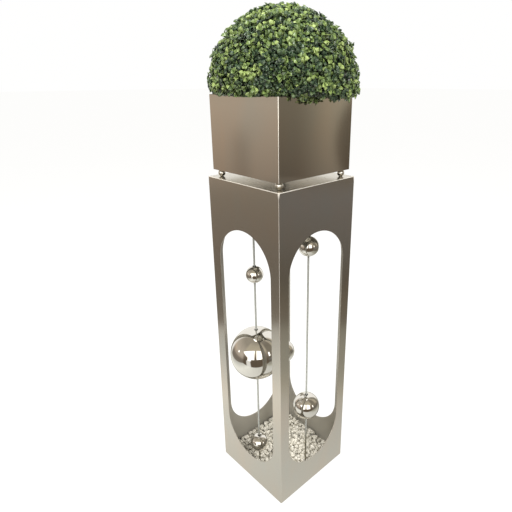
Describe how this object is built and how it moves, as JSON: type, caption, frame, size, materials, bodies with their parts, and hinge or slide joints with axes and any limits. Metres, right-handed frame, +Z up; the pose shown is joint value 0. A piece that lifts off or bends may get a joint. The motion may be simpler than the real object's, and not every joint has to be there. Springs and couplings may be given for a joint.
{
  "type": "column planter",
  "caption": "Tall square steel column with a round-ended window in each face and polished balls on rods inside, under a square box on ball feet that holds a clipped boxwood dome.",
  "frame": {"origin": "on the floor, at the middle of the column's square foot", "axes": "+Z up the column; X and Y square to its four flat faces; the rod with the large ball stands by the -Y face"},
  "size_m": [0.3999, 0.4, 1.436],
  "materials": {
    "brushed_sheet": "stainless sheet with a fine vertical grain, folded edges",
    "satin_plate": "satin stainless plate",
    "polished_steel": "mirror-polished stainless",
    "rod_steel": "drawn stainless rod, satin",
    "fastener_steel": "stainless fasteners, lightly polished",
    "black_rubber": "matt black rubber",
    "marble_gravel": "loose crushed white marble chips",
    "black_plastic": "matt moulded plastic",
    "potting_soil": "loose peat and fine bark",
    "green_plastic": "matt moulded plastic",
    "boxwood_leaves": "small glossy round leaves, from dark green to yellow green"
  },
  "bodies": {
    "column": {"column_front": "brushed_sheet", "column_back": "brushed_sheet", "top_plate": "satin_plate", "base_plate": "satin_plate", "rod_seats": "fastener_steel", "rod_front": "rod_steel", "rod_side": "rod_steel", "rod_back": "rod_steel", "rod_washers": "fastener_steel", "rod_nuts": "fastener_steel", "gravel_bed": "marble_gravel"},
    "front_top_ball": {"ball_front_top": "polished_steel", "grommets_front_top": "black_rubber"},
    "front_large_ball": {"ball_front_large": "polished_steel", "grommets_front_large": "black_rubber"},
    "front_low_ball": {"ball_front_low": "polished_steel", "grommets_front_low": "black_rubber"},
    "side_top_ball": {"ball_side_top": "polished_steel", "grommets_side_top": "black_rubber"},
    "side_low_ball": {"ball_side_low": "polished_steel", "grommets_side_low": "black_rubber"},
    "back_ball": {"ball_back": "polished_steel", "grommets_back": "black_rubber"},
    "planter": {"planter_walls": "brushed_sheet", "planter_floor": "satin_plate", "ball_feet": "polished_steel", "foot_bolts": "fastener_steel", "foot_washers": "fastener_steel"},
    "insert": {"liner": "black_plastic", "soil": "potting_soil", "plant_stake": "green_plastic", "dome_frame": "green_plastic", "foliage_dome": "boxwood_leaves"}
  },
  "joints": [
    {"name": "slide_front_top_ball", "type": "slide", "parent": "column", "child": "front_top_ball", "axis": [0, 0, 1], "range_m": [-0.065, 0.2]},
    {"name": "slide_front_large_ball", "type": "slide", "parent": "column", "child": "front_large_ball", "axis": [0, 0, 1], "range_m": [-0.085, 0.085]},
    {"name": "slide_front_low_ball", "type": "slide", "parent": "column", "child": "front_low_ball", "axis": [0, 0, 1], "range_m": [-0.03, 0.15]},
    {"name": "slide_side_top_ball", "type": "slide", "parent": "column", "child": "side_top_ball", "axis": [0, 0, 1], "range_m": [-0.2, 0.14]},
    {"name": "slide_side_low_ball", "type": "slide", "parent": "column", "child": "side_low_ball", "axis": [0, 0, 1], "range_m": [-0.18, 0.25]},
    {"name": "slide_back_ball", "type": "slide", "parent": "column", "child": "back_ball", "axis": [0, 0, 1], "range_m": [-0.29, 0.55]},
    {"name": "lift_planter", "type": "slide", "parent": "column", "child": "planter", "axis": [0, 0, 1], "range_m": [0, 0.3]},
    {"name": "lift_liner", "type": "slide", "parent": "planter", "child": "insert", "axis": [0, 0, 1], "range_m": [0, 0.35]}
  ]
}
